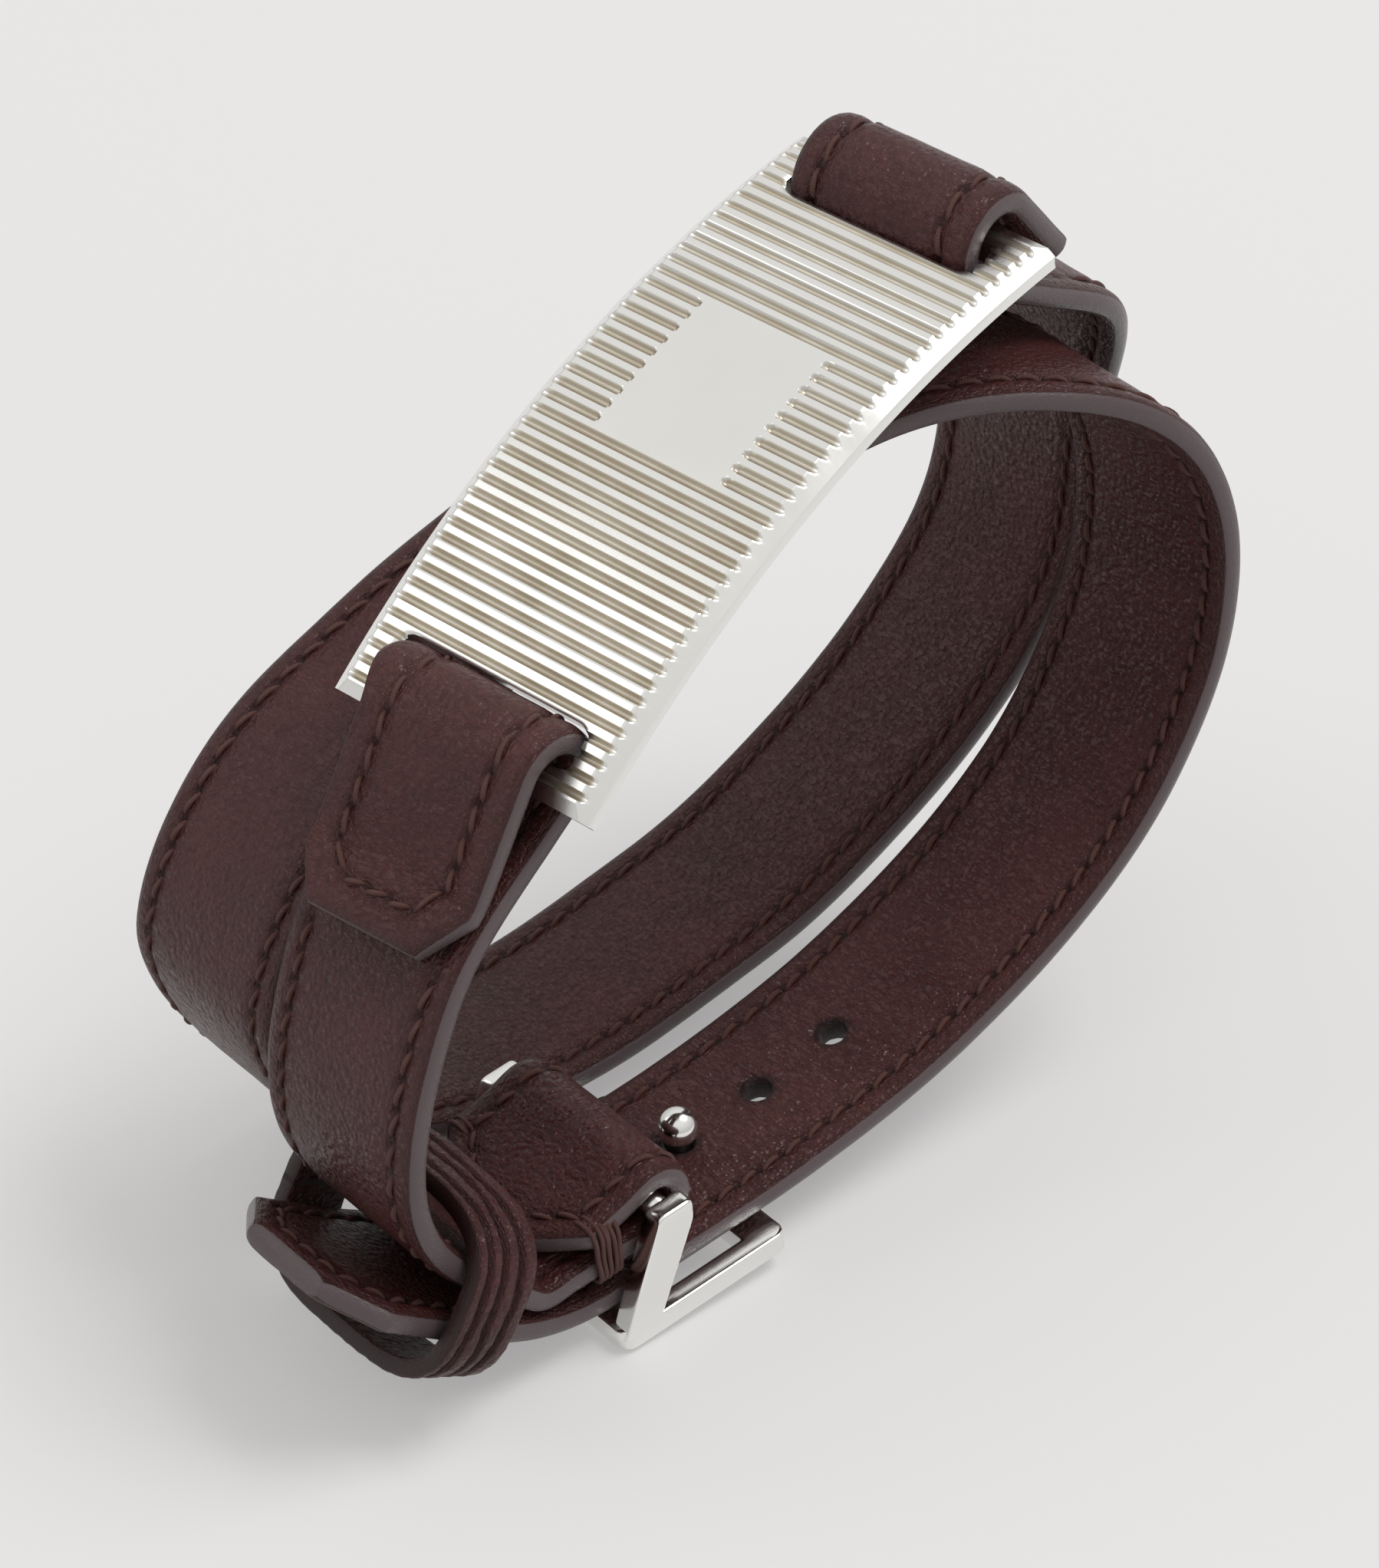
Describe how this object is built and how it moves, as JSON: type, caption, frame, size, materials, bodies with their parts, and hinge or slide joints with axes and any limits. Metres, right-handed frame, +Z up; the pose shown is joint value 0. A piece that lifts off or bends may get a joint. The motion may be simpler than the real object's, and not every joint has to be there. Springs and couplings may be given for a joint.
{
  "type": "double-wrap leather bracelet",
  "caption": "Lined leather strap that wraps the wrist twice, with a curved ribbed silver plate, a stud buckle and a loose leather keeper.",
  "frame": {"origin": "middle of the bounding box in X and Y, at its lowest level", "axes": "+X along the straps at the buckle, towards the stud; +Y along the wrist; +Z up, away from the surface the bracelet lies on"},
  "size_m": [0.0704, 0.0302, 0.0604],
  "materials": {
    "plate_silver": "bright pale silver, finely ribbed, satin panel and bevels",
    "buckle_silver": "polished silver",
    "strap_leather": "dark reddish brown, fine pebble grain, semi-gloss",
    "lining_leather": "dark brown, smoother grain",
    "keeper_leather": "dark brown, creased lengthwise",
    "waxed_thread": "waxed brown thread"
  },
  "bodies": {
    "straps": {"short_strap_outer": "strap_leather", "short_strap_lining": "lining_leather", "long_strap_outer": "strap_leather", "long_strap_lining": "lining_leather", "bar_tack_near": "waxed_thread", "bar_tack_far": "waxed_thread"},
    "plate": {"plate": "plate_silver"},
    "buckle": {"buckle_frame": "buckle_silver", "buckle_pin": "buckle_silver", "stud": "buckle_silver"},
    "keeper": {"keeper_band": "keeper_leather"}
  },
  "joints": [
    {"name": "buckle_pivot", "type": "hinge", "parent": "straps", "child": "buckle", "pos_m": [-0.01268, -0.00679, 0.00822], "axis": [0, 1, 0], "range_deg": [-1.5, 2]},
    {"name": "keeper_slide", "type": "slide", "parent": "straps", "child": "keeper", "axis": [0.866, 0, -0.5], "range_m": [-0.0012, 0.0012]},
    {"name": "plate_rock", "type": "hinge", "parent": "straps", "child": "plate", "pos_m": [-0.01847, -0.00417, 0.0399], "axis": [-0.1444, 0.9895, 0], "range_deg": [-0.5, 0.5]}
  ]
}
